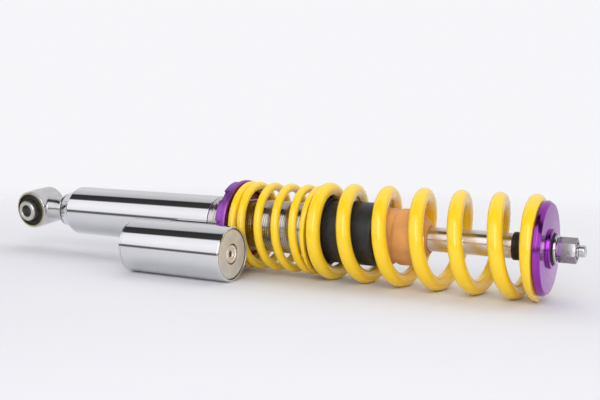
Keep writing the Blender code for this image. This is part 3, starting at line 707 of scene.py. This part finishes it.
# --- springs and seats ----------------------------------------------------------------------------
def lower_perch():
    start, end = span("lower_perch")
    outer = radius("lower_perch")
    collar, flange = 0.0402, 0.0036
    bore = THREAD_RADIUS + 0.0003
    face = span("slip_ring")[1]
    recess = span("slip_ring")[0] - GAP
    washer = radius("slip_ring") + GAP
    step = recess - flange
    lip = 0.0318
    perch = turned("perch_ring", [
        (end, bore + 0.0006, 0.0002), (end, lip, 0.0006), (recess, lip), (recess, washer),
        (face, washer, 0.0002), (face, outer - 0.0006, 0.0004), (face - 0.0008, outer, 0.0003),
        (step + 0.0010, outer, 0.0005), (step, outer - 0.0012, 0.0004),
        (step, collar, 0.0003), (start + 0.0006, collar, 0.0003), (start, collar - 0.0007, 0.0003),
        (start, bore + 0.0008, 0.0003), (start + 0.0008, bore),
    ], PURPLE_PERCH, None, sides=192)
    cut = bmesh.new()
    for number in range(8):
        turn = Matrix.Rotation(math.tau * number / 8, 4, "X")
        where = Matrix.Translation((0, AXIS_Y, AXIS_Z)) @ turn @ Matrix.Translation((start, 0, collar))
        size = Matrix.Diagonal((2 * (step - start) - 0.0002, 0.0120, 0.0070, 1))
        bmesh.ops.create_cube(cut, size=1, matrix=where @ size)
    slots = cutter(cut)
    boolean(perch, slots)
    rounding(perch, 0.00035, 2, 40)
    settle(perch, (slots,))
    dress(perch, "perch", "lower_perch")
    first, last = span("slip_ring")
    ring = radius("slip_ring")
    turned("perch_washer", [
        (first, lip + 0.0004), (first, ring, 0.0003), (last, ring, 0.0003), (last, lip + 0.0004),
    ], BLACK_NYLON, "helper_seat", "slip_ring", sides=160)


def coil(name, wire, bore, turns, front_turn, closed, ground, start, end, ramp=0.3, steps=72, sides=26):
    """A spring with closed, ground ends, on the same helix as the CAD's."""
    mean = (bore + wire) / 2
    pitch = wire * 1.02
    first = start + wire / 2 - ground[0] * pitch
    last = end - wire / 2 + ground[1] * pitch
    opens, closes = closed[0], turns - closed[1] - ramp
    extra = (last - first - pitch * turns) / (closes - opens)

    def ramped(turn):
        if turn <= 0:
            return 0.0
        return turn * turn / (2 * ramp) if turn < ramp else turn - ramp / 2

    def place(turn):
        opened = ramped(turn - opens) - ramped(turn - closes)
        angle = math.tau * (turn - front_turn) + math.pi / 2
        return Vector((first + pitch * turn + extra * opened,
                       AXIS_Y - mean * math.sin(angle), AXIS_Z + mean * math.cos(angle)))

    shape = bmesh.new()
    rings = []
    count = round(turns * steps)
    skin = wire / 2 * 1.004
    for number in range(count + 1):
        turn = number / steps
        here = place(turn)
        tangent = (place(turn + 0.002) - place(turn - 0.002)).normalized()
        outward = Vector((0, here.y - AXIS_Y, here.z - AXIS_Z)).normalized()
        sideways = tangent.cross(outward).normalized()
        outward = sideways.cross(tangent)
        inset = min(1.0, 0.90 + 0.1 * min(number, count - number) / 2)
        ring = []
        for side in range(sides):
            angle = math.tau * (side + 0.5) / sides
            spot = here + (outward * math.cos(angle) + sideways * math.sin(angle)) * skin * inset
            spot.x = min(max(spot.x, start + 0.00002), end - 0.00002)
            ring.append(shape.verts.new(spot))
        rings.append(ring)
    for one, two in zip(rings, rings[1:]):
        for side in range(sides):
            other = (side + 1) % sides
            shape.faces.new((one[side], one[other], two[other], two[side]))
    shape.faces.new(rings[0])
    shape.faces.new(rings[-1])
    bmesh.ops.recalc_face_normals(shape, faces=shape.faces)
    return as_piece(name, shape, YELLOW_COAT, None, sharp=38)


HELPER = {"wire": 0.0077, "bore": 0.0656, "turns": 6.125, "front_turn": 0.8}
MAIN = {"wire": 0.0124, "bore": 0.062, "turns": 6.875, "front_turn": 0.625}


def springs():
    adapter_start, adapter_end = span("spring_adapter")
    seat, helper_end = span("helper_spring")
    main_start, main_end = span("main_spring")
    helper = coil("helper_coil", start=seat, end=helper_end, closed=(1.48, 0.85), ground=(0.57, 0.62),
                  sides=22, **HELPER)
    dress(helper, "helper_seat", "helper_spring")
    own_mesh(helper)
    main = coil("main_coil", start=main_start, end=main_end, closed=(0.65, 0.5), ground=(0.625, 0.5),
                sides=30, **MAIN)
    dress(main, "rod_carrier", "main_spring")
    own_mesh(main)
    inner, outer, flange = radius("dust_tube") + 0.0006, 0.0300, radius("spring_adapter")
    turned("spring_joiner", [
        (adapter_end, inner, 0.0005), (adapter_end, outer - 0.0008, 0.0006),
        (main_start - GAP, outer, 0.0004),
        (main_start - GAP, flange, 0.0003), (helper_end + GAP, flange, 0.0003),
        (helper_end + GAP, outer, 0.0004), (adapter_start, outer - 0.0008, 0.0006),
        (adapter_start, inner, 0.0005),
    ], BLACK_NYLON, "adapter", "spring_adapter", sides=160)


# --- bump stop, dust tube ---------------------------------------------------------------------------
def bump_stop():
    first, last = span("dust_tube")
    outer = radius("dust_tube")
    wall = outer - 0.0013
    turned("dust_boot", [
        (last, 0.0163), (last, outer - 0.0014, 0.0009), (last - 0.0016, outer, 0.0008),
        (first, outer, 0.0003), (first, wall, 0.0003), (last - 0.0020, wall), (last - 0.0020, 0.0163),
    ], BLACK_SATIN, "bump", "dust_tube", sides=160)
    start, end = span("bump_stop")
    r = radius("bump_stop")
    bore = ROD_RADIUS + 0.0004
    above = last + GAP
    cone = end - 0.0100

    def lumpy(x, reach, angle):
        swell = math.sin(3 * angle + 200 * x) * 0.00006 + math.sin(7 * angle - 90 * x) * 0.00004
        return reach + (swell if reach > 0.015 else 0)

    turned("foam_stop", [
        (end, bore), (end, bore + 0.0016, 0.0006), (cone, r - 0.0010, 0.0030),
        (cone - 0.0050, r, 0.0020), (above + 0.0182, r, 0.0018),
        (above + 0.0161, r - 0.0020, 0.0012), (above + 0.0135, r - 0.0020, 0.0012),
        (above + 0.0114, r, 0.0014), (above + 0.0012, r, 0.0010), (above, r - 0.0010, 0.0006),
        (above, 0.0160), (last - 0.0025, 0.0160), (start, 0.0160), (start, bore),
    ], FOAM, "bump", "bump_stop", sides=160, shape_radius=lumpy)


# --- rod and rod end ----------------------------------------------------------------------------------
NUT_TURN = math.radians(22)


def hexagon(name, start, end, across_flats, bore, look, chamfer=0.0012):
    """A hexagon nut with turned chamfers."""
    corner = across_flats / math.sqrt(3)
    shape = bmesh.new()
    middle = (start + end) / 2
    hexagon_bar(shape, middle, corner, end - start, turn=NUT_TURN)
    nut = as_piece(name, shape, look, None)
    crown = cutter(revolve([
        (start - 0.0001, bore), (start - 0.0001, across_flats / 2),
        (start + chamfer * 0.6, corner + 0.0003),
        (end - chamfer * 0.6, corner + 0.0003), (end + 0.0001, across_flats / 2), (end + 0.0001, bore),
    ], DAMPER_AXIS, 128))
    boolean(nut, crown, "INTERSECT")
    rounding(nut, 0.00022, 2, 25)
    settle(nut, (crown,), 25)
    return nut


def rod_end():
    rod_low, rod_high = span("piston_rod")
    rod = ROD_RADIUS
    seat = span("main_spring")[1] + GAP
    shoulder = seat - GAP
    stud = STUD_RADIUS
    turned("rod_shaft", [
        (rod_high, 0.0026), (rod_high, stud - 0.0010, 0.0002), (rod_high - 0.0010, stud, 0.0003),
        (shoulder, stud), (shoulder, rod, 0.0004), (along(0.3585), rod), (along(0.3585), 0.0062),
        (rod_low, 0.0060, 0.0003), (rod_low, 0.0030),
    ], ROD_STEEL, "rod", "piston_rod", sides=128)
    first, last = span("rod_collar")
    collar = radius("rod_collar")
    turned("rod_sleeve", [
        (first, rod + 0.0001), (first, collar, 0.0007), (first + 0.0030, collar, 0.0004),
        (first + 0.0036, collar - 0.0005, 0.0003), (first + 0.0042, collar, 0.0004), (last, collar, 0.0006),
        (last, rod + 0.0001),
    ], BLACK_SLEEVE, "rod", "rod_collar")
    low, high = span("upper_perch")
    outer = radius("upper_perch")
    boss = 0.0162
    face = high - BOSS_HEIGHT
    hole, stud_hole = 0.01325, STUD_HOLE
    turned("top_disc", [
        (seat + 0.0035, stud_hole), (seat + 0.0035, hole), (high - 0.0005, hole, 0.0002),
        (high, hole + 0.0005, 0.0002), (high, boss - 0.0007, 0.0003), (high - 0.0007, boss, 0.0003),
        (face, boss, 0.0003), (face, outer - 0.0022, 0.0002), (face - 0.0029, outer, 0.0002),
        (seat + 0.0003, outer, 0.0003),
        (seat, outer - 0.0004, 0.0002), (seat, 0.0300), (low, 0.0300, 0.0006), (low, 0.0272, 0.0006),
        (seat, 0.0255), (seat, stud_hole),
    ], PURPLE_DISC, "rod", "upper_perch", sides=192)
    first, last = span("perch_bush")
    turned("perch_grommet", [
        (last, stud_hole + 0.0001), (last, hole - 0.0009, 0.0005), (last - 0.0012, hole - 0.0003, 0.0004),
        (first, hole - 0.0003), (first, stud_hole + 0.0001),
    ], RUBBER, "rod", "perch_bush")
    first, last = span("top_washer")
    washer = radius("top_washer")
    turned("stud_washer", [
        (first, stud_hole), (first, washer - 0.0003, 0.0002), (first + 0.0004, washer, 0.0002),
        (last - 0.0004, washer, 0.0002), (last, washer - 0.0004, 0.0002), (last, stud_hole),
    ], BRIGHT_STEEL, "rod", "top_washer")
    first, last = span("top_nut")
    nut = hexagon("stud_nut", first, last, NUT_ACROSS_FLATS, stud + 0.0002, NUT_ZINC)
    dress(nut, "rod", "top_nut")
    first, last = span("rebound_adjuster")
    knob = radius("rebound_adjuster")
    back = rod_high + 0.0013
    body = turned("rebound_knob", [
        (last - 0.0030, 0), (last - 0.0030, 0.0017), (last - 0.0004, 0.0020, 0.0002), (last, 0.0024, 0.0002),
        (last, knob - 0.0009, 0.0004), (last - 0.0009, knob, 0.0004), (last - 0.0050, knob, 0.0003),
        (last - 0.0054, knob - 0.0004, 0.0002), (last - 0.0060, knob, 0.0003), (back, knob, 0.0002),
        (back, 0.0024), (first, 0.0024), (first, 0),
    ], BRIGHT_STEEL, None, sides=96)
    cut = bmesh.new()
    hexagon_bar(cut, last, 0.0021, 0.005)
    key = cutter(cut)
    boolean(body, key)
    settle(body, (key,))
    dress(body, "rebound_screw", "rebound_adjuster")


lower_eye()
eye_bush()
base_cap()
damper_tube()
reservoir()
reservoir_bridge()
lower_perch()
springs()
bump_stop()
rod_end()


# --- floor --------------------------------------------------------------------------------------------
def floor():
    """A pale sweep whose far edge fades into the backdrop."""
    shape = bmesh.new()
    bmesh.ops.create_circle(shape, cap_ends=True, segments=96, radius=9.0)
    mesh = bpy.data.meshes.new("floor")
    shape.to_mesh(mesh)
    shape.free()
    ground = bpy.data.objects.new("floor", mesh)
    bpy.context.scene.collection.objects.link(ground)
    made = Finish("floor_paper", (0.78, 0.78, 0.81), 0.0, 0.75, Specular_IOR_Level=0.2)
    made.tint(made.noise(1.2, 3), 0.012)
    made.bump(made.noise(900, 3), 0.00002, 0.2)
    away = made.node("ShaderNodeVectorMath", operation="LENGTH")
    made.link(made.place, away.inputs[0])
    clear = made.node("ShaderNodeBsdfTransparent")
    blend = made.node("ShaderNodeMixShader")
    made.link(made.remap(away.outputs["Value"], 0, 1, 0.34, 1.05), blend.inputs[0])
    made.link(made.shader.outputs[0], blend.inputs[1])
    made.link(clear.outputs[0], blend.inputs[2])
    made.link(blend.outputs[0], made.tree.nodes["Material Output"].inputs["Surface"])
    mesh.materials.append(made.material)


floor()


# --- light --------------------------------------------------------------------------------------------
def studio():
    """A white tent, by angle round the X axis from the front: a dark line at the horizon, a bright wall,
    a dark gap overhead, then a pale wall behind and below."""
    world = bpy.data.worlds.new("studio")
    bpy.context.scene.world = world
    world.use_nodes = True
    tree = world.node_tree
    background = tree.nodes["Background"]
    output = tree.nodes["World Output"]

    def node(kind, **settings):
        made = tree.nodes.new(kind)
        for key, value in settings.items():
            setattr(made, key, value)
        return made

    place = node("ShaderNodeTexCoord")
    split = node("ShaderNodeSeparateXYZ")
    tree.links.new(place.outputs["Generated"], split.inputs[0])
    front = node("ShaderNodeMath", operation="MULTIPLY")
    tree.links.new(split.outputs["Y"], front.inputs[0])
    front.inputs[1].default_value = -1
    angle = node("ShaderNodeMath", operation="ARCTAN2")
    tree.links.new(split.outputs["Z"], angle.inputs[0])
    tree.links.new(front.outputs[0], angle.inputs[1])
    scale = node("ShaderNodeMapRange")
    tree.links.new(angle.outputs[0], scale.inputs["Value"])
    scale.inputs["From Min"].default_value = -math.pi
    scale.inputs["From Max"].default_value = math.pi
    ramp = node("ShaderNodeValToRGB")
    tree.links.new(scale.outputs[0], ramp.inputs[0])
    stops = [(-180, 0.70), (-90, 0.66), (-9, 0.78), (-4, 0.15), (4, 0.12), (9, 1.02), (30, 1.15), (57, 1.05),
             (62, 0.05), (90, 0.035), (96, 0.62), (130, 0.80), (180, 0.70)]
    elements = ramp.color_ramp.elements
    for number, (degrees, value) in enumerate(stops):
        position = (degrees + 180) / 360
        element = elements[number] if number < 2 else elements.new(position)
        element.position = position
        element.color = (value, value, value * 1.03, 1)
    tree.links.new(ramp.outputs[0], background.inputs["Color"])
    background.inputs["Strength"].default_value = 1.0
    wall = node("ShaderNodeBackground")
    wall.inputs["Color"].default_value = (0.925, 0.925, 0.955, 1)
    path = node("ShaderNodeLightPath")
    choose = node("ShaderNodeMixShader")
    tree.links.new(path.outputs["Is Camera Ray"], choose.inputs[0])
    tree.links.new(background.outputs[0], choose.inputs[1])
    tree.links.new(wall.outputs[0], choose.inputs[2])
    tree.links.new(choose.outputs[0], output.inputs["Surface"])


def soft_light(name, size, power, location, target, colour=(1, 1, 1), glossy=False):
    light = bpy.data.lights.new(name, "AREA")
    light.shape = "RECTANGLE"
    light.size, light.size_y = size
    light.energy = power
    light.color = colour
    lamp = bpy.data.objects.new(name, light)
    lamp.location = location
    lamp.rotation_euler = (Vector(target) - Vector(location)).to_track_quat("-Z", "Y").to_euler()
    lamp.visible_glossy = glossy
    bpy.context.scene.collection.objects.link(lamp)


studio()
soft_light("overhead", (3.0, 2.0), 14, (0.15, 0.45, 1.3), (0.05, 0.15, 0.0))
soft_light("front_fill", (0.5, 1.1), 5, (0.50, -1.05, 0.55), (0.05, 0.0, 0.03), glossy=True)


# --- camera -------------------------------------------------------------------------------------------
CAMERA_OFFSET = (0.6964, -0.7243, 0.1006)        # from the middle of the eye
CAMERA_DIP, CAMERA_YAW, CAMERA_ROLL = 0.091, 0.485, 0.018


def camera():
    lens = bpy.data.cameras.new("camera")
    lens.sensor_width = 36
    lens.lens = 54
    eye = bpy.data.objects.new("camera", lens)
    bpy.context.scene.collection.objects.link(eye)
    eye.location = tuple(a + b for a, b in zip((EYE_X, AXIS_Y, AXIS_Z), CAMERA_OFFSET))
    aim = Euler((math.pi / 2 - CAMERA_DIP, 0, CAMERA_YAW)).to_matrix() @ Matrix.Rotation(CAMERA_ROLL, 3, "Z")
    eye.rotation_euler = aim.to_euler()
    bpy.context.scene.camera = eye
    bpy.context.scene.view_settings.view_transform = "Standard"


camera()
